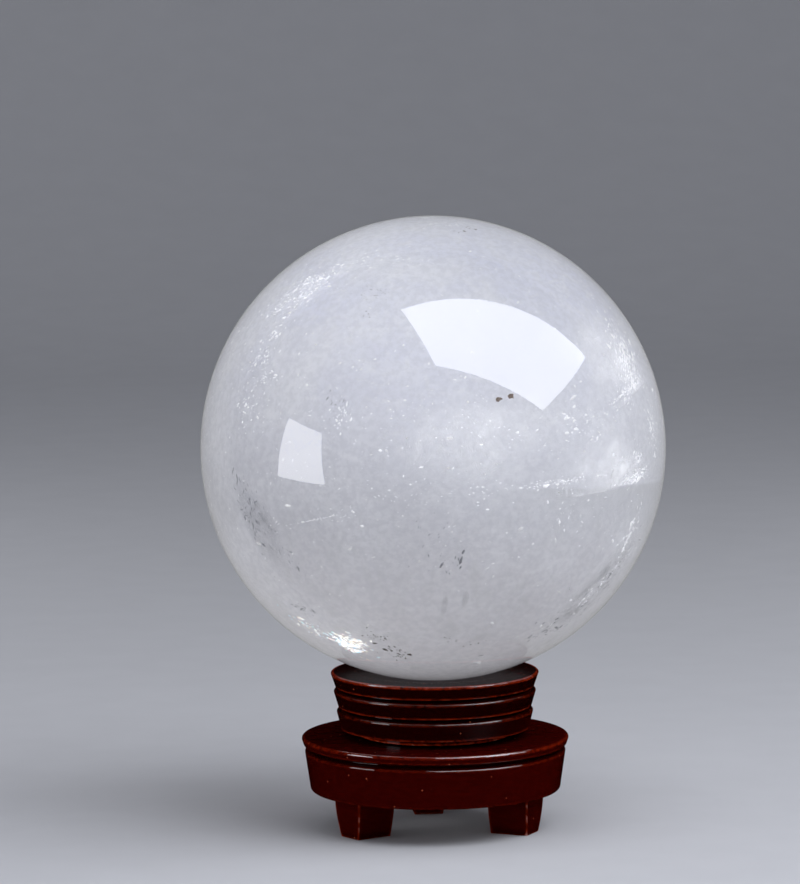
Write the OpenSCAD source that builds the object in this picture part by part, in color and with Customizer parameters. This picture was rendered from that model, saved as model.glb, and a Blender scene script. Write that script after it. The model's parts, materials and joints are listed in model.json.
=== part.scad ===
// Crystal ball on a lacquered turning stand.
// A polished quartz sphere rests in a turned wooden collar. The collar turns on a thrust ball
// bearing that is let into a round base plate, and the base plate stands on three doweled legs.
// Millimetres, +Z up, origin on the standing surface, on the axis of the stand.
// One leg is at +Y, so the front, between the other two legs, faces -Y.

/* [Crystal ball] */
// Diameter of the sphere
ball_d = 180; // [140:1:200]
// Radius of the circle on which the sphere meets its seat
seat_r = 21; // [18:0.5:24]

/* [Seat collar] */
// Diameter of the rim, the widest part of the collar
rim_d = 80.8; // [78:0.1:90]
// Heights of the three turned rings, from the top one down
ring_heights = [7.1, 7.8, 7.1]; // [7:0.1:9]
// How much smaller in radius each ring is than the ring above it
ring_step = 1.1; // [0.5:0.1:1.5]
// How far a ring draws in from its lip to its foot
ring_taper = 1.6; // [0.5:0.1:1.8]
// Diameter of the neck below the rings
neck_d = 58.8; // [50:0.1:62]
// Height of the shadow gap between the lowest ring and the base plate
neck_gap = 3.1; // [2:0.1:5]
// Inner diameter of the flat rim, where the top steps down towards the seat
rim_inner_d = 60; // [54:0.5:64]

/* [Base plate] */
// Diameter over the lip of the base plate
plate_d = 103.8; // [98:0.1:120]
// Height of the base plate, lip and apron together
plate_h = 21.2; // [20:0.1:26]
// Height of the lip above its groove
lip_h = 3.4; // [2.5:0.1:4]
// Diameter of the apron at its upper edge
apron_d = 101.4; // [96:0.1:103]
// Diameter of the apron at its foot
apron_foot_d = 97.4; // [92:0.1:100]

/* [Legs] */
// Height of the legs, and of the base plate above the floor
leg_h = 15.2; // [12:0.1:20]
// Width of a leg at its top
leg_w = 16.2; // [13:0.1:18]
// Width of a leg at its toe
toe_w = 11; // [9:0.1:13]
// Depth of a leg at its top, towards the axis
leg_depth = 16.8; // [14:0.1:19]
// Distance from the axis to the outer face of a leg, at its top
leg_r = 42.2; // [40:0.1:43]

/* [Hidden] */
$fn = 96;
eps = 0.01;

// Running gaps
turn_gap = 0.5;     // collar neck over the base plate
seat_gap = 0.1;     // sphere over its seat
thrust_gap = 0.1;   // washer under its seat in the base plate
ball_gap = 0.05;    // bearing balls in their raceways and in the cage
wood_fit = 0.05;    // dowels, races and bolt in their wooden holes

// Turned grooves
groove_depth = 2.0; // measured in from the lip below the groove
groove_h = 1.7;     // whole height, from the lip below to the ring above
groove_rise = 1.2;  // height of the sloping lower wall
lip_round = 0.6;    // rounding of a lip
edge_round = 1.0;   // rounding of the upper edge of the base plate
foot_round = 1.4;   // rounding of the lower edge of the apron
lip_draw = 0.6;     // how far the lip of the base plate draws in
neck_round = 1.2;   // cove where the neck meets the lowest ring
rim_step = 0.3;     // step down inside the flat rim
pocket_r = 10;      // pocket for the bolt head, below the sphere

// Thrust bearing, 20 x 35 x 10
race_r = 17.5;
race_bore_r = 10;
race_h = 3.2;
bearing_h = 10;
bearing_ball_r = 3;
bearing_balls_n = 12;
pitch_r = (race_r + race_bore_r) / 2;
cage_h = 2;
cage_wall = 0.7;    // wall of the cage outside its pockets
plate_recess = 5;   // depth to which the bearing is let into the base plate

// Pivot, M8
bolt_r = 4;
bolt_run = 0.08;    // running gap of the bolt in the base plate
head_r = 8;
head_h = 4.4;
head_drop = 1.4;    // head below the lowest point of the sphere
hex_flats = 5;      // socket across flats
hex_depth = 2.6;
washer_r = 8.4;
washer_h = 1.6;
nut_flats = 13;
nut_h = 8;
nut_pocket_r = 11;
nut_pocket_h = 11;
bolt_tail = 0.6;    // bolt end past the nut

// Dowels
dowel_r = 4;
dowel_in_leg = 9;
dowel_in_plate = 10;
dowel_end_gap = 0.5;
dowel_chamfer = 0.6;

// Leg outline
leg_steps = 8;
toe_curve = 1.7;    // power of the curve by which a leg narrows
toe_tuck = 1.2;     // how far the toe tucks in below the outer face

// Levels, from the floor up
plate_z = leg_h + plate_h;
apron_z = plate_z - lip_h - groove_h - 0.4;
neck_z = plate_z + turn_gap;
rings_z = plate_z + neck_gap;
rings_h = ring_heights[0] + ring_heights[1] + ring_heights[2];
rim_z = rings_z + rings_h;
bearing_z = plate_z - plate_recess;
washer_seat_z = leg_h + nut_pocket_h;

// Sphere, tangent to a conical seat
ball_r = ball_d / 2;
seat_angle = asin(seat_r / ball_r);
seat_edge_r = seat_r + 1;
seat_edge_z = rim_z - rim_step;
apex_z = seat_edge_z - seat_edge_r * tan(seat_angle);
ball_z = apex_z + ball_r / cos(seat_angle) + seat_gap;
head_top_z = ball_z - ball_r - head_drop;

wood = [0.30, 0.045, 0.03];
steel = [0.72, 0.73, 0.75];

// Points of an arc about c, from angle a to angle b
function arc(c, r, a, b, steps = 6) =
    [for (i = [0 : steps]) let (t = a + (b - a) * i / steps) c + r * [cos(t), sin(t)]];

function lip_r(i) = rim_d / 2 - i * ring_step;
function ring_top(i) = i == 0 ? rim_z : ring_top(i - 1) - ring_heights[i - 1];

// Floor of the groove above a lip, whose lower wall then slopes out to that lip
function groove(lip_r, lip_z) = [
    [lip_r - groove_depth, lip_z + groove_h],
    [lip_r - groove_depth, lip_z + groove_rise]
];

// Side of ring i, from its lip to its foot, and in to the floor of the next groove
function ring_side(i) = let (r = lip_r(i), z = ring_top(i), last = i == len(ring_heights) - 1)
    concat(
        i == 0 ? [] : groove(r, z),
        arc([r - lip_round, z - lip_round], lip_round, i == 0 ? 90 : 60, -10),
        [[r - ring_taper, z - ring_heights[i] + (last ? 0 : groove_h)]]
    );

module spin(outline) rotate_extrude() polygon(outline);

module at_legs() for (a = [0, 120, 240]) rotate(a) translate([0, leg_r - leg_depth / 2, 0]) children();

module at_bearing_balls()
    for (i = [0 : bearing_balls_n - 1])
        rotate(i * 360 / bearing_balls_n) translate([pitch_r, 0, bearing_z + bearing_h / 2]) children();

// Circular raceway, a torus a little larger than the balls
module raceway()
    translate([0, 0, bearing_z + bearing_h / 2])
        rotate_extrude() translate([pitch_r, 0]) circle(r = bearing_ball_r + ball_gap);

module crystal_ball()
    color([0.86, 0.87, 0.92, 0.8]) translate([0, 0, ball_z]) sphere(r = ball_r);

// Collar blank: three rings over a neck
module collar_blank()
    spin(concat(
        [[0, rim_z]],
        [for (i = [0 : len(ring_heights) - 1]) each ring_side(i)],
        [[neck_d / 2 + neck_round, rings_z]],
        arc([neck_d / 2 + neck_round, rings_z - neck_round], neck_round, 90, 180),
        [[neck_d / 2, neck_z], [0, neck_z]]
    ));

// Dish that is turned into the top: a step, then the conical seat
module dish()
    spin([
        [0, rim_z + 1], [rim_inner_d / 2, rim_z + 1], [rim_inner_d / 2, rim_z],
        [rim_inner_d / 2 - rim_step, seat_edge_z], [seat_edge_r, seat_edge_z],
        [pocket_r - 1, apex_z + (pocket_r - 1) * tan(seat_angle)],
        [0, apex_z + (pocket_r - 1) * tan(seat_angle)]
    ]);

module seat_collar()
    color(wood) difference() {
        collar_blank();
        dish();
        translate([0, 0, head_top_z - head_h]) cylinder(r = pocket_r, h = rings_h);
        translate([0, 0, neck_z - 1]) cylinder(r = bolt_r + wood_fit, h = rim_z);
        translate([0, 0, neck_z - 1])
            cylinder(r = race_r + wood_fit, h = bearing_z + bearing_h - neck_z + 1);
    }

// Base blank: lip, groove and apron
module plate_blank()
    let (lip = plate_d / 2, apron = apron_d / 2, foot = apron_foot_d / 2)
        spin(concat(
            [[0, plate_z]],
            arc([lip - edge_round, plate_z - edge_round], edge_round, 90, -10),
            arc([lip - lip_draw - lip_round, plate_z - lip_h + lip_round], lip_round, -10, -90),
            groove(apron, apron_z),
            arc([apron - lip_round, apron_z - lip_round], lip_round, 60, -10),
            arc([foot - foot_round, leg_h + foot_round], foot_round, -10, -90),
            [[0, leg_h]]
        ));

module base_plate()
    color(wood) difference() {
        plate_blank();
        translate([0, 0, bearing_z]) cylinder(r = race_r + wood_fit, h = plate_h);
        translate([0, 0, leg_h - 1]) cylinder(r = bolt_r + bolt_run, h = plate_h + 2);
        translate([0, 0, leg_h - 1]) cylinder(r = nut_pocket_r, h = nut_pocket_h + 1);
        at_legs() translate([0, 0, leg_h - 1])
            cylinder(r = dowel_r + wood_fit, h = dowel_in_plate + dowel_end_gap + 1);
    }

// Share of the full taper that a leg has lost at height z
function toe_share(z) = pow((leg_h - z) / leg_h, toe_curve);

// Front view of a leg, narrowing to the toe in a curve
module leg_front()
    let (heights = [for (i = [0 : leg_steps]) leg_h * i / leg_steps])
        let (side = [for (z = heights) [leg_w / 2 - (leg_w - toe_w) / 2 * toe_share(z), z]])
            polygon(concat(side, [for (i = [leg_steps : -1 : 0]) [-side[i][0], side[i][1]]]));

// Side view of a leg, with its outer face tucking in towards the toe
module leg_side()
    let (heights = [for (i = [0 : leg_steps]) leg_h * i / leg_steps])
        polygon(concat(
            [for (z = heights) [leg_r - toe_tuck * toe_share(z), z]],
            [[leg_r - leg_depth, leg_h], [leg_r - leg_depth + 0.4, 0]]
        ));

// Leg that points along +Y
module leg()
    color(wood) difference() {
        intersection() {
            translate([0, leg_r + 1, 0]) rotate([90, 0, 0]) linear_extrude(leg_depth + 2) leg_front();
            translate([-leg_w, 0, 0]) rotate([90, 0, 90]) linear_extrude(2 * leg_w) leg_side();
        }
        translate([0, leg_r - leg_depth / 2, leg_h - dowel_in_leg - dowel_end_gap])
            cylinder(r = dowel_r + wood_fit, h = leg_h);
    }

module leg_back() leg();
module leg_left() rotate(120) leg();
module leg_right() rotate(240) leg();

module leg_dowels()
    color("burlywood") at_legs() translate([0, 0, leg_h - dowel_in_leg]) {
        length = dowel_in_leg + dowel_in_plate;
        cylinder(r1 = dowel_r - dowel_chamfer, r2 = dowel_r, h = dowel_chamfer);
        translate([0, 0, dowel_chamfer]) cylinder(r = dowel_r, h = length - 2 * dowel_chamfer);
        translate([0, 0, length - dowel_chamfer])
            cylinder(r1 = dowel_r, r2 = dowel_r - dowel_chamfer, h = dowel_chamfer);
    }

module race(z)
    color(steel) difference() {
        translate([0, 0, z]) cylinder(r = race_r, h = race_h);
        translate([0, 0, z - 1]) cylinder(r = race_bore_r, h = race_h + 2);
        raceway();
    }

module bearing_lower_race() race(bearing_z);
module bearing_upper_race() race(bearing_z + bearing_h - race_h);

module bearing_cage()
    color("goldenrod") difference() {
        translate([0, 0, bearing_z + (bearing_h - cage_h) / 2])
            cylinder(r = pitch_r + bearing_ball_r - cage_wall + 1, h = cage_h);
        translate([0, 0, bearing_z]) cylinder(r = pitch_r - bearing_ball_r + cage_wall - 1, h = bearing_h);
        at_bearing_balls() cylinder(r = bearing_ball_r + ball_gap, h = bearing_h, center = true);
    }

module bearing_balls()
    color(steel) at_bearing_balls() sphere(r = bearing_ball_r);

module pivot_bolt()
    let (end_z = washer_seat_z - thrust_gap - washer_h - nut_h - bolt_tail)
        color(steel) difference() {
            union() {
                translate([0, 0, head_top_z - head_h]) cylinder(r = head_r, h = head_h);
                translate([0, 0, end_z]) cylinder(r = bolt_r, h = head_top_z - head_h - end_z + eps);
            }
            translate([0, 0, head_top_z - hex_depth])
                cylinder(r = hex_flats / 2 / cos(30), h = head_h, $fn = 6);
        }

module pivot_washer()
    color(steel) translate([0, 0, washer_seat_z - thrust_gap - washer_h]) difference() {
        cylinder(r = washer_r, h = washer_h);
        translate([0, 0, -1]) cylinder(r = bolt_r + wood_fit, h = washer_h + 2);
    }

module lock_nut()
    color(steel) translate([0, 0, washer_seat_z - thrust_gap - washer_h - nut_h]) difference() {
        intersection() {
            cylinder(r = nut_flats / 2 / cos(30), h = nut_h, $fn = 6);
            cylinder(r1 = nut_flats / 2, r2 = nut_flats / 2 + nut_h, h = nut_h);
        }
        translate([0, 0, -1]) cylinder(r = bolt_r + wood_fit, h = nut_h + 2);
    }

crystal_ball();
seat_collar();
base_plate();
leg_left();
leg_right();
leg_back();
leg_dowels();
bearing_lower_race();
bearing_upper_race();
bearing_cage();
bearing_balls();
pivot_bolt();
pivot_washer();
lock_nut();
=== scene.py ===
"""Looks for a milky quartz sphere on a lacquered turning stand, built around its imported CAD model."""

import json
import math
import random
from collections import namedtuple

import bpy
from mathutils import Matrix, Vector, noise


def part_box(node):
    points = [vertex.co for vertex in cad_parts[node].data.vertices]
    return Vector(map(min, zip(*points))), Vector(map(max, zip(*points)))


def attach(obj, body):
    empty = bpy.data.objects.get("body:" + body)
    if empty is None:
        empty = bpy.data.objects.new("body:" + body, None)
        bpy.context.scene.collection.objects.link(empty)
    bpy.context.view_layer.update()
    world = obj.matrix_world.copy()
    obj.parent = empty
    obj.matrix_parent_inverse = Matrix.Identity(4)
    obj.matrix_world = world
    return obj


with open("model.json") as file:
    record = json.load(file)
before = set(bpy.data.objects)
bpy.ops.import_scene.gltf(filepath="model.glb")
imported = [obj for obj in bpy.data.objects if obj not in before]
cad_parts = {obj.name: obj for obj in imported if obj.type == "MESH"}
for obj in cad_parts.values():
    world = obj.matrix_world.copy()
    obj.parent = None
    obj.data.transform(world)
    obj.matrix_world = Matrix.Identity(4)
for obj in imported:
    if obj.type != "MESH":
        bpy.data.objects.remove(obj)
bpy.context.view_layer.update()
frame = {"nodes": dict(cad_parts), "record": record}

MM = 0.001
SCENE = bpy.context.scene
NODES = frame["nodes"]


# ---------------------------------------------------------------- measures from the frame

def corners(node):
    """Lowest and highest corner of a CAD node, as vectors."""
    low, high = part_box(node)
    return Vector(low), Vector(high)


ball_low, ball_high = corners("crystal_ball")
BALL = (ball_low + ball_high) / 2
BALL_R = (ball_high.z - ball_low.z) / 2
CORE_R = 0.955 * BALL_R

VIEW_AZIMUTH = -6.0
VIEW_ELEVATION = 7.05


def direction(lon, lat):
    """Unit vector: longitude from the front (-Y) towards +X, latitude above the horizon, in degrees."""
    a, e = math.radians(lon), math.radians(lat)
    return Vector((math.sin(a) * math.cos(e), -math.cos(a) * math.cos(e), math.sin(e)))


# ---------------------------------------------------------------- camera, lights and floor

def make_camera():
    """A long lens, a little above the ball, with the object right of the middle of the frame."""
    distance = 2.322
    roll = math.radians(-0.45)
    back = direction(VIEW_AZIMUTH, VIEW_ELEVATION)
    right = back.cross(Vector((0, 0, -1))).normalized()
    up = back.cross(right)
    aim = BALL - right * 12.8 * MM + up * 2.5 * MM
    eye = BALL + back * distance
    data = bpy.data.cameras.new("camera")
    data.sensor_width = 36
    data.lens = 244.3
    data.clip_start = 0.1
    data.clip_end = 50
    camera = bpy.data.objects.new("camera", data)
    facing = (eye - aim).to_track_quat("Z", "Y").to_matrix() @ Matrix.Rotation(roll, 3, "Z")
    camera.location = eye
    camera.rotation_euler = facing.to_euler()
    SCENE.collection.objects.link(camera)
    SCENE.camera = camera


def softbox(name, offset, away, across, size, energy, colour=(1, 1, 1)):
    """Rectangular light. Its place from the ball's centre, the way its back faces and its long
    direction are given as seen from the camera's side: right, away from the camera, and up."""
    turn = Matrix.Rotation(math.radians(VIEW_AZIMUTH), 3, "Z")
    data = bpy.data.lights.new(name, "AREA")
    data.shape = "RECTANGLE"
    data.size, data.size_y = size
    data.energy = energy
    data.color = colour
    z = (turn @ Vector(away)).normalized()
    x = turn @ Vector(across)
    x = (x - z * x.dot(z)).normalized()
    facing = Matrix((x, z.cross(x), z)).transposed().to_4x4()
    light = bpy.data.objects.new(name, data)
    light.matrix_world = Matrix.Translation(BALL + turn @ Vector(offset)) @ facing
    light.visible_camera = False
    light.visible_transmission = False
    SCENE.collection.objects.link(light)
    return light


def make_lights():
    """A large key light and a side light make the ball's two highlights. The others fill and rim it.

    The key glint is just behind the key light, and only reflections show it.
    """
    key_at = Vector((0.50, -0.55, 0.94))
    key = {"away": (0.49, 0.16, 0.86), "across": (0.81, 0.28, -0.52), "size": (1.54, 1.03),
           "colour": (0.89, 0.92, 1.0)}
    softbox("key_light", key_at, energy=15, **key)
    softbox("key_glint", key_at * 1.005, energy=15.5, **key).visible_diffuse = False
    softbox("side_light", (-1.37, -0.61, 0.07), (-0.82, -0.15, -0.55), (0.25, -0.96, -0.115),
            (0.63, 0.72), 7.5, (0.93, 0.94, 1.0))
    softbox("fill_light", (0.1, -1.4, 0.06), (0.0, -1.0, 0.0), (1, 0, 0), (2.0, 0.36), 2.5,
            (0.97, 0.96, 1.0)).visible_glossy = False
    for name, side in (("left", -1), ("right", 1)):
        softbox("rim_light_" + name, (side * 0.9, 0.55, 0.02), (side * 0.8, 0.5, 0.0),
                (side * -0.6, 0.8, 0), (0.9, 0.3), 2.2, (0.94, 0.95, 1.0)).visible_glossy = False
    rim_board = softbox("rim_board", (0, 0.75, -0.09), (0, 1, 0), (1, 0, 0), (3.0, 3.0), 8)
    rim_board.visible_diffuse = False
    skin = bpy.data.collections.new("ball_skin")
    skin.objects.link(NODES["crystal_ball"])
    rim_board.light_linking.receiver_collection = skin
    world = bpy.data.worlds.new("studio")
    world.use_nodes = True
    background = world.node_tree.nodes["Background"]
    background.inputs["Color"].default_value = (0.87, 0.90, 1.0, 1)
    background.inputs["Strength"].default_value = 0.32
    SCENE.world = world
    world.cycles_visibility.glossy = False
    SCENE.view_settings.view_transform = "Standard"


def sweep_profile(depth, radius, height, steps=16):
    """Floor, quarter circle and wall of a studio sweep, as (y, z) pairs."""
    bend = [(depth + radius * math.sin(t), radius * (1 - math.cos(t)))
            for t in (math.pi / 2 * i / steps for i in range(steps + 1))]
    return [(-4.0, 0.0)] + bend + [(depth + radius, height)]


def make_floor():
    """Studio sweep, kept out of reflections."""
    profile = sweep_profile(1.6, 1.2, 5.0)
    half_width = 5.0
    points = [(x, y, z) for x in (-half_width, half_width) for y, z in profile]
    n = len(profile)
    faces = [(i, n + i, n + i + 1, i + 1) for i in range(n - 1)]
    floor = new_mesh("studio_floor", points, faces)
    floor.data.materials.append(floor_material())
    floor.visible_glossy = False


# ---------------------------------------------------------------- meshes

def new_mesh(name, points, faces, smooth=True):
    """Object made of points and faces, linked into the scene."""
    mesh = bpy.data.meshes.new(name)
    mesh.from_pydata([tuple(p) for p in points], [], faces)
    mesh.update()
    for polygon in mesh.polygons:
        polygon.use_smooth = smooth
    piece = bpy.data.objects.new(name, mesh)
    SCENE.collection.objects.link(piece)
    return piece


# ---------------------------------------------------------------- shader nodes

def colour(r, g, b):
    """Opaque colour."""
    return (r, g, b, 1)


class Shader:
    """A material whose nodes are added one at a time."""

    def __init__(self, name):
        self.material = bpy.data.materials.new(name)
        self.material.use_nodes = True
        self.tree = self.material.node_tree
        self.tree.nodes.clear()

    def node(self, kind, sockets=None, **settings):
        """New node. sockets maps an input's name or number to a value or to another node's output."""
        made = self.tree.nodes.new("ShaderNode" + kind)
        for key, value in settings.items():
            setattr(made, key, value)
        for key, value in (sockets or {}).items():
            if isinstance(value, bpy.types.NodeSocket):
                self.tree.links.new(value, made.inputs[key])
            else:
                made.inputs[key].default_value = value
        return made

    def place(self, stretch=(1, 1, 1)):
        """Object coordinates in metres, stretched."""
        where = self.node("TexCoord").outputs["Object"]
        return self.node("Mapping", {"Vector": where, "Scale": stretch}).outputs["Vector"]

    def noise(self, where, scale, detail=4.0, roughness=0.5, distortion=0.0):
        """Noise from 0 to 1."""
        return self.node("TexNoise", {"Vector": where, "Scale": scale, "Detail": detail,
                                      "Roughness": roughness, "Distortion": distortion}).outputs[0]

    def ramp(self, factor, *stops):
        """Colour or grey ramp through (position, value) stops."""
        made = self.node("ValToRGB", {"Fac": factor})
        elements = made.color_ramp.elements
        while len(elements) < len(stops):
            elements.new(1.0)
        for element, (position, value) in zip(elements, stops):
            grey = isinstance(value, (int, float))
            element.position = position
            element.color = colour(*((value,) * 3 if grey else value))
        return made.outputs["Color"]

    def math(self, operation, a, b=0.0, c=0.0):
        return self.node("Math", {0: a, 1: b, 2: c}, operation=operation).outputs[0]

    def share(self, value, start, end):
        """How far value is from start to end, from 0 to 1."""
        return self.node("MapRange", {0: value, 1: start, 2: end}).outputs[0]

    def mix(self, factor, a, b, blend="MIX"):
        """Colour mix."""
        made = self.node("Mix", data_type="RGBA", blend_type=blend)
        for key, value in ((0, factor), (6, a), (7, b)):
            if isinstance(value, bpy.types.NodeSocket):
                self.tree.links.new(value, made.inputs[key])
            else:
                made.inputs[key].default_value = value if key == 0 else colour(*value)
        return made.outputs[2]

    def bump(self, height, distance, strength, normal):
        sockets = {"Height": height, "Distance": distance, "Strength": strength, "Normal": normal}
        return self.node("Bump", sockets).outputs["Normal"]

    def surface(self, sockets):
        """Principled shader on the output. Returns the finished material."""
        shader = self.node("BsdfPrincipled", sockets)
        self.node("OutputMaterial", {"Surface": shader.outputs[0]})
        return self.material


# ---------------------------------------------------------------- materials

def floor_material():
    """Plain pale floor."""
    sh = Shader("studio_floor")
    grain = sh.noise(sh.place(), 40, 3)
    return sh.surface({
        "Base Color": sh.ramp(grain, (0.3, (0.60, 0.60, 0.61)), (0.7, (0.615, 0.615, 0.625))),
        "Roughness": 0.8,
        "Specular IOR Level": 0.1,
    })


def quartz_material():
    """Clear polished skin of the ball. The milk is in the core beneath it."""
    sh = Shader("polished_quartz")
    return sh.surface({
        "Base Color": colour(1, 1, 1),
        "Roughness": 0.0,
        "IOR": 1.544,
        "Transmission Weight": 1.0,
    })


def milk_material():
    """Cloudy quartz: soft and translucent, cooler towards the top, with drifts, wisps and smoky patches.

    On the front right it is greyer below a sloping shelf. Its glow low down is painted light, standing
    in for the light that comes through the ball from above.
    """
    sh = Shader("milky_quartz")
    where = sh.place()
    sideways, backward, height = sh.node("SeparateXYZ", {0: where}).outputs
    rise = sh.share(height, -CORE_R, CORE_R)
    # Painted light: the ramp is paler low down and a little lighter at the top than in the middle. It is
    # also bluer towards the top.
    low, middle, top = (0.90, 0.88, 0.90), (0.79, 0.79, 0.82), (0.81, 0.82, 0.95)
    body = sh.ramp(rise, (0.0, low), (0.45, middle), (1.0, top))
    drifts = sh.noise(where, 26, 5, 0.55, 0.5)
    wisps = sh.noise(sh.place((1, 1, 1.7)), 150, 6, 0.72, 0.8)
    mottle = sh.noise(where, 420, 5, 0.65)
    smoke = sh.noise(sh.place((1.5, 1.5, 0.6)), 60, 5, 0.6, 0.8)
    low_down = sh.ramp(rise, (0.22, 1.0), (0.55, 0.0))
    body = sh.mix(sh.ramp(drifts, (0.38, 0.0), (0.66, 0.85)), body, (0.90, 0.90, 0.94))
    body = sh.mix(sh.ramp(wisps, (0.50, 0.0), (0.68, 0.42)), body, (0.98, 0.98, 1.0))
    body = sh.mix(sh.ramp(mottle, (0.42, 0.28), (0.58, 0.0)), body, (0.60, 0.60, 0.64))
    smoke = sh.math("MULTIPLY", sh.ramp(smoke, (0.52, 0.0), (0.70, 0.3)), low_down)
    body = sh.mix(smoke, body, (0.64, 0.65, 0.64))
    shelf = sh.math("MULTIPLY_ADD", sideways, 0.09, height)
    shelf = sh.math("MULTIPLY_ADD", drifts, 6 * MM, shelf)
    under = sh.ramp(sh.share(shelf, -26 * MM, 4 * MM), (0.0, 0.0), (0.5, 0.5), (0.84, 1.0), (0.88, 0.0))
    right_side = sh.ramp(sh.share(sideways, 0.0, CORE_R), (0.05, 0.0), (0.5, 0.5))
    front_side = sh.ramp(sh.share(backward, 0.0, -CORE_R), (0.05, 0.0), (0.35, 1.0))
    shaded = sh.math("MULTIPLY", under, sh.math("MULTIPLY", right_side, front_side))
    body = sh.mix(shaded, body, (0.60, 0.60, 0.60))
    return sh.surface({
        "Base Color": body,
        "Roughness": 0.6,
        "Subsurface Weight": 0.85,
        "Subsurface Radius": (1.0, 1.0, 1.0),
        "Subsurface Scale": 0.15,
        "Specular IOR Level": 0.0,
        "Emission Color": colour(1.0, 0.97, 1.0),
        # Painted light: a glow low down on the core.
        "Emission Strength": sh.ramp(rise, (0.0, 0.22), (0.15, 0.14), (0.40, 0.01)),
    })


def fracture_material(name, glow, tints=()):
    """Broken faces inside the crystal, white. The glow is painted light, standing in for the light that
    the ball gathers on them.

    tints are the colours of thin-film fringes, if it has any.
    """
    sh = Shader(name)
    tone = sh.node("Attribute", attribute_name="tone").outputs["Fac"]
    body = sh.ramp(tone, (0.0, (0.90, 0.90, 0.94)), (0.5, (1.0, 1.0, 1.0)))
    if tints:
        hues = sh.noise(sh.place(), 500, 2)
        stops = [(0.30 + 0.40 * i / (len(tints) - 1), tint) for i, tint in enumerate(tints)]
        body = sh.mix(0.7, body, sh.ramp(hues, *stops))
    return sh.surface({
        "Base Color": body,
        "Roughness": sh.ramp(tone, (0.3, 0.45), (0.9, 0.30)),
        "Specular IOR Level": 1.0,
        # Painted light: the faces glow in their own colour.
        "Emission Color": body,
        "Emission Strength": glow,
    })


def veil_material(name, tone, most, grain, glow=0.0):
    """Feathery sheet: transparent where its noise is low and towards its rim, by the fade attribute.

    most is the greatest cover of its two faces together, and glow is painted light on the sheet.
    """
    sh = Shader(name)
    where = sh.place()
    fade = sh.node("Attribute", attribute_name="fade").outputs["Fac"]
    drifts = sh.ramp(sh.noise(where, grain, 3, 0.5, 0.6), (0.32, 0.1), (0.72, 1.0))
    threads = sh.ramp(sh.noise(where, grain * 4, 3, 0.5, 0.6), (0.35, 0.6), (0.68, 1.0))
    cover = sh.math("MULTIPLY", sh.math("MULTIPLY", drifts, threads), sh.math("MULTIPLY", fade, most))
    one_side = sh.math("SUBTRACT", 1.0, sh.math("SQRT", sh.math("SUBTRACT", 1.0, cover)))
    return sh.surface({
        "Base Color": colour(*tone),
        "Roughness": 0.4,
        "Specular IOR Level": 0.2,
        # Painted light: the sheet glows in its own tone.
        "Emission Color": colour(*tone),
        "Emission Strength": glow,
        "Alpha": one_side,
    })


def speck_material(name, dark, light):
    """Mineral specks of mixed tone."""
    sh = Shader(name)
    tone = sh.noise(sh.place(), 1500, 3)
    return sh.surface({
        "Base Color": sh.ramp(tone, (0.35, dark), (0.65, light)),
        "Roughness": 0.5,
    })


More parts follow.
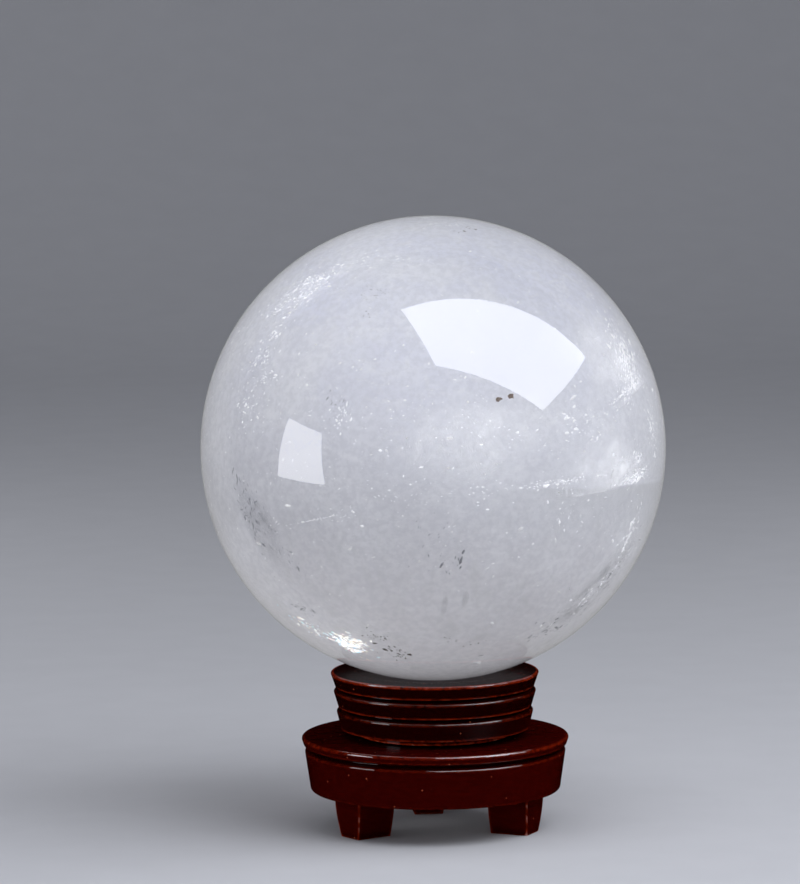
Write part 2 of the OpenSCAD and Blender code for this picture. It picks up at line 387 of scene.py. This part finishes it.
def lacquer_material(name, depth, edge_wear_and_highlight, flat_gloss=0.1):
    """Dark red-brown lacquered hardwood, orange-red at its edges, which is partly wear and partly
    painted highlight. Painted shade makes it nearly black in its grooves.

    depth scales the colour of the flat faces, and a low depth is painted shade. The argument after it
    scales the orange-red of the edges, partly wear and partly painted highlight. flat_gloss is the
    weight of the clear coat where a face looks straight up, since polish is thinner there.
    """
    sh = Shader(name)
    grain = sh.noise(sh.place((2, 7, 16)), 60, 6, 0.62, 0.5)
    pores = sh.noise(sh.place((40, 8, 140)), 14, 5, 0.6, 0.3)
    stains = ((0.040, 0.0009, 0.0005), (0.058, 0.0016, 0.0008), (0.078, 0.0028, 0.0012))
    stain = sh.ramp(grain, *((stop, tuple(depth * c for c in tone))
                             for stop, tone in zip((0.32, 0.52, 0.72), stains)))
    stain = sh.mix(sh.ramp(pores, (0.30, 0.5), (0.42, 0.0)), stain, (0.006, 0.0005, 0.0004))
    open_air = sh.node("AmbientOcclusion", {"Distance": 4 * MM}, samples=6).outputs["AO"]
    # Painted shade: nearly black where the ambient occlusion finds grooves and recesses.
    stain = sh.mix(sh.ramp(open_air, (0.35, 0.9), (0.85, 0.0)), stain, (0.002, 0.0002, 0.0002))
    within = sh.node("AmbientOcclusion", {"Distance": 1.6 * MM}, samples=6, inside=True).outputs["AO"]
    uneven = sh.noise(sh.place(), 420, 4, 0.6)
    # Orange-red edges: partly lacquer wear and partly a painted highlight where the lips catch the
    # light.
    edge = sh.math("MULTIPLY", sh.ramp(within, (0.45, edge_wear_and_highlight), (0.82, 0.0)),
                   sh.ramp(uneven, (0.35, 0.3), (0.60, 1.0)))
    stain = sh.mix(edge, stain, (0.85, 0.060, 0.008))
    # Pale chips at the sharpest edges: partly bare wood and partly painted glints.
    chips_and_glints = sh.math("MULTIPLY", sh.ramp(within, (0.34, 1.0), (0.58, 0.0)),
                    sh.ramp(uneven, (0.58, 0.0), (0.61, 1.0)))
    stain = sh.mix(chips_and_glints, stain, (0.62, 0.42, 0.36))
    dust = sh.node("TexVoronoi", {"Vector": sh.place(), "Scale": 300.0}, feature="F1")
    lot = sh.node("SeparateColor", {0: dust.outputs["Color"]}).outputs[0]
    lone = sh.ramp(lot, (0.72, 0.0), (0.73, 1.0))
    fleck = sh.math("MULTIPLY", sh.ramp(dust.outputs["Distance"], (0.05, 1.0), (0.10, 0.0)), lone)
    stain = sh.mix(fleck, stain, (0.45, 0.12, 0.06))
    rounded = sh.node("Bevel", {"Radius": 0.5 * MM}, samples=4).outputs[0]
    upward = sh.node("SeparateXYZ", {0: rounded}).outputs[2]
    clear = sh.math("MULTIPLY", sh.ramp(open_air, (0.25, 0.0), (0.50, 1.0)),
                    sh.ramp(upward, (0.93, 1.0), (0.995, flat_gloss)))
    skin = sh.bump(sh.noise(sh.place(), 130, 3, 0.5), 0.10 * MM, 0.35, rounded)
    return sh.surface({
        "Base Color": stain,
        "Roughness": 0.4,
        "Specular IOR Level": 0.0,
        "Normal": skin,
        "Coat Weight": clear,
        "Coat Roughness": sh.ramp(upward, (0.93, 0.035), (0.995, 0.22)),
        "Coat IOR": sh.ramp(within, (0.60, 2.7), (0.92, 1.6)),
        "Coat Normal": skin,
    })


def metal_material(name, tone, roughness):
    """Turned metal with fine scratches round its axis."""
    sh = Shader(name)
    scratches = sh.noise(sh.place((1, 1, 12)), 600, 3)
    return sh.surface({
        "Base Color": colour(*tone),
        "Metallic": 1.0,
        "Roughness": sh.ramp(scratches, (0.3, roughness * 0.8), (0.7, roughness * 1.3)),
    })


def beech_material():
    """Bare wood of the dowels, with its grain upright."""
    sh = Shader("beech")
    grain = sh.noise(sh.place((6, 6, 1)), 160, 4)
    return sh.surface({
        "Base Color": sh.ramp(grain, (0.3, (0.50, 0.33, 0.18)), (0.7, (0.66, 0.47, 0.28))),
        "Roughness": 0.6,
    })


# ---------------------------------------------------------------- the ball

def make_core():
    """Milky heart of the ball, a faintly uneven sphere under the clear skin."""
    rings, spokes = 96, 192
    points = []
    for i in range(1, rings):
        for j in range(spokes):
            way = direction(360 * j / spokes, 180 * i / rings - 90)
            points.append(way * (CORE_R + 0.5 * MM * noise.noise(way * 4)))
    south, north = len(points), len(points) + 1
    points += [Vector((0, 0, -CORE_R)), Vector((0, 0, CORE_R))]
    faces = [(i * spokes + j, i * spokes + (j + 1) % spokes,
              (i + 1) * spokes + (j + 1) % spokes, (i + 1) * spokes + j)
             for i in range(rings - 2) for j in range(spokes)]
    faces += [(south, (j + 1) % spokes, j) for j in range(spokes)]
    last = (rings - 2) * spokes
    faces += [(north, last + j, last + (j + 1) % spokes) for j in range(spokes)]
    core = new_mesh("milky_core", points, faces)
    core.location = BALL
    core.data.materials.append(milk_material())
    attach(core, "sphere")


Patch = namedtuple("Patch", "name lon lat wide tall lean count size")

# Bright broken patches. Middle as longitude and latitude; spread along and across the lean, in
# millimetres; lean of the patch and its slivers in degrees; how many slivers; length of a typical one
FRACTURES = [
    Patch("upper_left", -60, 46, 18, 14, 52, 180, 1.6),
    Patch("upper_left_wedge", -56, 51, 9, 5, 35, 60, 1.7),
    Patch("upper_left_trail", -43, 59, 14, 6, 30, 50, 1.3),
    Patch("crown_front", -14, 60, 10, 4, 5, 30, 1.0),
    Patch("crown", 21, 79, 16, 5, 0, 30, 1.2),
    Patch("left_upper", -60, 33, 6, 4, 55, 34, 1.7),
    Patch("left_dots", -60, 27, 8, 7, 60, 60, 1.5),
    Patch("left_low_dots", -56, 22, 7, 4, 20, 34, 1.6),
    Patch("left_middle", -60, 15, 9, 8, 50, 70, 1.4),
    Patch("centre_left", -30, 15, 8, 7, 70, 64, 1.3),
    Patch("centre", -12, 14, 22, 9, 10, 44, 1.0),
    Patch("centre_right", 7, 11, 18, 9, 150, 54, 1.1),
    Patch("centre_right_dashes", 14, 10, 6, 3, 170, 8, 1.4),
    Patch("right_middle", 34, 11, 16, 9, 15, 90, 1.3),
    Patch("right_bright", 60, 25, 17, 10, 65, 330, 2.0),
    Patch("right_cap", 53, 17, 14, 5, 20, 80, 1.4),
    Patch("right_edge", 65, 7, 12, 5, 100, 110, 1.5),
    Patch("right_spot", 55, 1, 3, 3, 80, 22, 1.8),
    Patch("shelf_edge", 54, -4, 13, 3, 12, 110, 1.7),
    Patch("shelf_line", 26, -2.5, 34, 2, 3, 110, 1.4),
    Patch("shelf_left", -8, -4, 40, 8, 0, 90, 1.1),
    Patch("under_shelf", 28, -11, 10, 7, 80, 40, 1.2),
    Patch("right_low", 56, -18, 9, 4, 75, 90, 1.7),
    Patch("right_low_band", 50, -34, 34, 6, 48, 110, 1.4),
    Patch("left_low", -29, -10, 7, 3, 20, 16, 1.1),
    Patch("low_dash", 16, -60, 3, 1, -15, 8, 3.4),
    Patch("bright_dot", -7, 28, 1, 1, 0, 4, 1.6),
    Patch("scratch", -37, -11.4, 13, 0.2, 14, 44, 1.2),
    Patch("back_left", -130, 20, 34, 20, 30, 200, 1.6),
    Patch("back_right", 140, -5, 38, 20, 160, 220, 1.7),
    Patch("back_low", 175, -38, 30, 12, 10, 130, 1.5),
    Patch("back_high", 170, 48, 30, 16, 140, 120, 1.4),
    Patch("right_cap_edge", 55, 17.5, 17, 0.5, 12, 90, 1.3),
]

# Rainbow-tinted patches, low on the ball
RAINBOWS = [
    Patch("low_left_bright", -41, -51, 8, 7, -25, 230, 2.2),
    Patch("low_left_trail", -54, -46, 12, 5, -35, 80, 1.5),
]

# Brown and black mineral specks
SPECKS = [
    Patch("low_left", -28, -47, 6, 4, 10, 30, 1.3),
    Patch("low_front", -22, -55, 7, 6, 120, 48, 1.4),
    Patch("low_right", 0, -48, 4, 2, 0, 9, 1.3),
    Patch("low_far_right", 10, -50, 12, 2, 0, 8, 0.9),
    Patch("crown", 32, 76, 9, 3, 0, 16, 1.3),
    Patch("upper", -28, 41, 3, 2, 0, 5, 1.0),
    Patch("back", 160, 25, 40, 24, 30, 40, 1.1),
]

# Brown specks
BROWN_SPECKS = [
    Patch("left", 11.4, 18.6, 0.9, 0.9, 60, 10, 2.2),
    Patch("right", 14.8, 19.2, 0.7, 0.6, 20, 8, 1.9),
]

# Soft grey marks
SMOKES = [
    Patch("left", -58, -13, 17, 9, 118, 110, 2.6),
    Patch("left_trail", -49, -20, 20, 5, 118, 36, 2.2),
    Patch("centre_streaks", -1, -23, 10, 8, 75, 16, 2.4),
    Patch("centre_dots", -4, -16, 26, 12, 60, 24, 1.3),
    Patch("left_streak", -52, -38, 7, 3, 155, 22, 2.8),
    Patch("right_band", 51, -35, 36, 9, 50, 150, 2.2),
    Patch("right_foot", 38, -48, 10, 3, 20, 30, 2.2),
    Patch("upper_left", -26, 48, 14, 5, 170, 36, 1.7),
    Patch("centre_left", -31, 18, 8, 6, 60, 26, 1.8),
    Patch("back", -160, -20, 40, 24, 60, 120, 1.8),
]


SHARD_THICKNESS = 0.10


class Shards:
    """Collects closed slivers of crystal, each a thin double pyramid on an irregular outline."""

    def __init__(self, seed):
        self.rng = random.Random(seed)
        self.points, self.faces, self.tones = [], [], []

    def add(self, centre, normal, along, length, width):
        """One sliver about centre, flat across normal and longest along along."""
        thickness = SHARD_THICKNESS * length
        rng = self.rng
        normal = normal.normalized()
        along = (along - normal * along.dot(normal)).normalized()
        across = normal.cross(along)
        sides = rng.randint(4, 6)
        first = len(self.points)
        for k in range(sides):
            t = math.tau * (k + rng.uniform(-0.3, 0.3)) / sides
            reach = rng.uniform(0.6, 1.0) / 2
            self.points.append(centre + along * length * reach * math.cos(t)
                               + across * width * reach * math.sin(t))
        self.points += [centre + normal * thickness / 2, centre - normal * thickness / 2]
        for k in range(sides):
            a, b = first + k, first + (k + 1) % sides
            self.faces += [(a, b, first + sides), (b, a, first + sides + 1)]
        self.tones += [rng.random()] * (sides + 2)

    def make(self, name, material):
        """All the slivers so far, as one piece."""
        piece = new_mesh(name, self.points, self.faces, smooth=False)
        tone = piece.data.attributes.new("tone", "FLOAT", "POINT")
        tone.data.foreach_set("value", self.tones)
        place_in_ball(piece, material)


def place_in_ball(piece, material):
    """Every inclusion has its origin at the ball's centre and goes with the ball."""
    piece.location = BALL
    piece.visible_shadow = False
    piece.data.materials.append(material)
    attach(piece, "sphere")


def tangents(way, lean):
    """Two directions along the skin at way: one leaning up from the east, and the one across it."""
    east = Vector((0, 0, 1)).cross(way).normalized()
    north = way.cross(east)
    a = math.radians(lean)
    return east * math.cos(a) + north * math.sin(a), north * math.cos(a) - east * math.sin(a)


def make_patch(kind, patch, material, seed, slim, facing=0.0, near=0.4, far=3.4):
    """Slivers scattered about a patch, near to far millimetres outside the core.

    slim is the range of their width to their length, and facing how far they turn to the front,
    where a fracture shows its bright side.
    """
    shards = Shards(seed)
    rng = shards.rng
    middle = direction(patch.lon, patch.lat)
    along, across = tangents(middle, patch.lean)
    front = direction(VIEW_AZIMUTH + 25, 35) if middle.y < 0.2 else middle
    for _ in range(patch.count):
        spot = along * rng.gauss(0, patch.wide / 2.2) + across * rng.gauss(0, patch.tall / 2.2)
        way = (middle + spot * MM / BALL_R).normalized()
        tilt = Vector([rng.gauss(0, 0.35) for _ in range(3)])
        lean = rng.gauss(patch.lean, 24)
        length = patch.size * MM * rng.lognormvariate(-0.45, 0.5)
        shards.add(way * (CORE_R + rng.uniform(near, far) * MM), way + front * facing + tilt,
                   tangents(way, lean)[0], length, length * rng.uniform(*slim))
    shards.make(kind + "_" + patch.name, material)


def make_snow(material):
    """Fine pale flecks all round the ball, denser about its waist."""
    shards = Shards(500)
    rng = shards.rng
    for _ in range(2400):
        way = direction(rng.uniform(-180, 180), rng.gauss(6, 25))
        tilt = Vector([rng.gauss(0, 0.4) for _ in range(3)])
        length = 1.2 * MM * rng.lognormvariate(-0.45, 0.55)
        width = length * rng.uniform(0.2, 0.6)
        shards.add(way * (CORE_R + rng.uniform(0.3, 2.5) * MM), way + tilt,
                   tangents(way, rng.gauss(15, 40))[0], length, width)
    shards.make("fine_flecks", material)


Veil = namedtuple("Veil", "name lon lat wide tall lean tilt depth crisp finish")

# Feathery sheets: middle, width and height in millimetres, lean in the skin and tilt out of it in
# degrees, distance from the centre as a share of the radius, whether the lower edge is sharp, finish
VEILS = [
    Veil("right_shelf", 42, 2, 66, 22, 4, 3, 0.970, True, "pale"),
    Veil("right_cap", 57, 23, 34, 30, 20, 8, 0.972, True, "pale"),
    Veil("right_haze", 50, 27, 44, 36, 40, 4, 0.967, False, "haze"),
    Veil("right_band", 50, -34, 62, 26, 50, 2, 0.964, False, "grey"),
    Veil("left_feather", -56, -15, 44, 18, 118, 2, 0.964, False, "grey"),
    Veil("centre_drift", 2, 8, 90, 36, 6, 2, 0.966, False, "haze"),
    Veil("upper_left", -60, 46, 34, 22, 50, 6, 0.970, False, "haze"),
    Veil("low_streak", -3, -35, 3, 17, -6, 0, 0.968, False, "smoky"),
    Veil("low_streak_right", 3, -33, 3, 12, -4, 0, 0.968, False, "smoky"),
    Veil("back_shelf", 150, 5, 80, 30, -8, 6, 0.968, True, "pale"),
    Veil("back_drift", -140, -25, 60, 34, 12, 4, 0.964, False, "smoky"),
]


VEIL_THICKNESS = 0.12 * MM
CRISP_FLATTENING = 0.06
HIGHEST_SHARE = 0.993


def make_veil(veil, material):
    """Thin closed lens that follows the ball and fades out at its rim, or only at its top if crisp."""
    way = direction(veil.lon, veil.lat)
    across, along = tangents(way, veil.lean)
    spokes, rings = 72, 14
    slope = math.sin(math.radians(veil.tilt))
    points, fades = [], []

    def put(share, turn, side):
        """One point, a share of the way out to the rim at a turn about the middle.

        side is 1 on the outer face, -1 on the inner one and 0 on the rim, which they share.
        """
        u, v = share * math.cos(turn), share * math.sin(turn)
        rise, curl, reach_up = v, 0.0, v
        if veil.crisp:
            v *= 1.0 if v > 0 else CRISP_FLATTENING
            rise, reach_up = 2 * v - 1, max(v, 0.0)
            curl = 0.16 * noise.noise(Vector((u * 2.2, veil.lon, 0)))
        sheet_spot = across * u * veil.wide + along * (rise + curl) * veil.tall
        spot = way * veil.depth * BALL_R + sheet_spot * MM / 2
        ripple = noise.noise(spot * 60 + way) * 0.6 * MM
        reach = veil.depth * BALL_R + rise * veil.tall / 2 * MM * slope + ripple
        reach = min(reach, HIGHEST_SHARE * BALL_R)
        bulge = side * VEIL_THICKNESS / 2 * (1 - share * share)
        points.append(spot.normalized() * (reach + bulge))
        ragged = 0.15 * noise.noise(spot * 110 + way)
        rim = max(0.0, min(1.0, 1.5 * (1 - math.hypot(u, reach_up) + ragged * abs(v))))
        fades.append(rim * rim * (3 - 2 * rim))

    for side in (1, -1):
        put(0.0, 0.0, side)
        for i in range(1, rings):
            for j in range(spokes):
                put(i / rings, math.tau * j / spokes, side)
    for j in range(spokes):
        put(1.0, math.tau * j / spokes, 0)
    face_points = 1 + (rings - 1) * spokes
    faces = []
    for first, order in ((0, 1), (face_points, -1)):
        loops = [[first + 1 + i * spokes + j for j in range(spokes)] for i in range(rings - 1)]
        loops.append([2 * face_points + j for j in range(spokes)])
        for j in range(spokes):
            k = (j + 1) % spokes
            faces.append((first, loops[0][j], loops[0][k])[::order])
            faces += [(a[j], b[j], b[k], a[k])[::order] for a, b in zip(loops, loops[1:])]
    sheet = new_mesh("veil_" + veil.name, points, faces)
    fade = sheet.data.attributes.new("fade", "FLOAT", "POINT")
    fade.data.foreach_set("value", fades)
    place_in_ball(sheet, material)


def make_inclusions():
    """Everything between the milky core and the clear skin."""
    rainbow = ((0.4, 1.0, 0.7), (0.35, 0.65, 1.0), (1.0, 1.0, 1.0), (1.0, 0.85, 0.45), (1.0, 0.45, 0.8))
    broken = fracture_material("broken_faces", 0.2)
    tinted = fracture_material("rainbow_faces", 0.8, rainbow)
    mineral = speck_material("mineral_specks", (0.045, 0.038, 0.032), (0.16, 0.13, 0.10))
    brown = speck_material("brown_specks", (0.13, 0.085, 0.06), (0.30, 0.22, 0.17))
    smoky = speck_material("smoky_specks", (0.30, 0.30, 0.33), (0.52, 0.52, 0.55))
    for number, patch in enumerate(FRACTURES):
        make_patch("fracture", patch, broken, 100 + number, (0.15, 0.6), facing=1.6)
    for number, patch in enumerate(RAINBOWS):
        make_patch("rainbow", patch, tinted, 200 + number, (0.2, 0.7), facing=1.6)
    for number, patch in enumerate(SPECKS):
        make_patch("specks", patch, mineral, 300 + number, (0.4, 0.8), near=0.2, far=1.2)
    for number, patch in enumerate(BROWN_SPECKS):
        make_patch("brown_specks", patch, brown, 350 + number, (0.6, 0.9), near=0.2, far=1.2)
    for number, patch in enumerate(SMOKES):
        make_patch("smoke", patch, smoky, 400 + number, (0.15, 0.3), near=0.7, far=1.8)
    make_snow(fracture_material("fine_flecks", 0.3))
    finishes = {
        "pale": veil_material("pale_veil", (1.0, 1.0, 1.0), 0.75, 60, 0.14),
        "haze": veil_material("pale_haze", (1.0, 1.0, 1.0), 0.42, 90, 0.08),
        "smoky": veil_material("smoky_veil", (0.42, 0.43, 0.41), 0.32, 50),
        "grey": veil_material("grey_veil", (0.36, 0.36, 0.38), 0.5, 70),
    }
    for veil in VEILS:
        make_veil(veil, finishes[veil.finish])


# ---------------------------------------------------------------- finishes on the CAD nodes

def dress():
    """Materials for the CAD nodes, by their slots. The collar gets a darker copy of the lacquer, painted
    shade where the ball keeps the light off it, and the legs one with fainter orange-red edges.
    """
    finishes = {
        "quartz": quartz_material(),
        "lacquered_wood": lacquer_material("lacquered_wood", 0.66, 1.0),
        "dowel_wood": beech_material(),
        "bearing_steel": metal_material("bearing_steel", (0.62, 0.63, 0.65), 0.18),
        "cage_brass": metal_material("cage_brass", (0.78, 0.57, 0.22), 0.28),
        "zinc_steel": metal_material("zinc_steel", (0.70, 0.71, 0.74), 0.30),
    }
    for part in frame["record"]["subparts"]:
        mesh = NODES[part["node"]].data
        mesh.materials.clear()
        mesh.materials.append(finishes[part["material_slot"]])
    # Painted shade: the collar's lacquer is a darker copy, with less gloss on its flat top.
    NODES["seat_collar"].data.materials[0] = lacquer_material("lacquered_wood_collar_shaded", 0.2, 1.0, 0.25)
    # The legs' orange-red edges, partly painted highlight, are fainter.
    leg_wood = lacquer_material("lacquered_wood_legs", 0.66, 0.35)
    for leg in ("leg_left", "leg_right", "leg_back"):
        NODES[leg].data.materials[0] = leg_wood
    NODES["crystal_ball"].visible_shadow = False


make_camera()
make_lights()
make_floor()
dress()
make_core()
make_inclusions()
SCENE.cycles.caustics_reflective = False
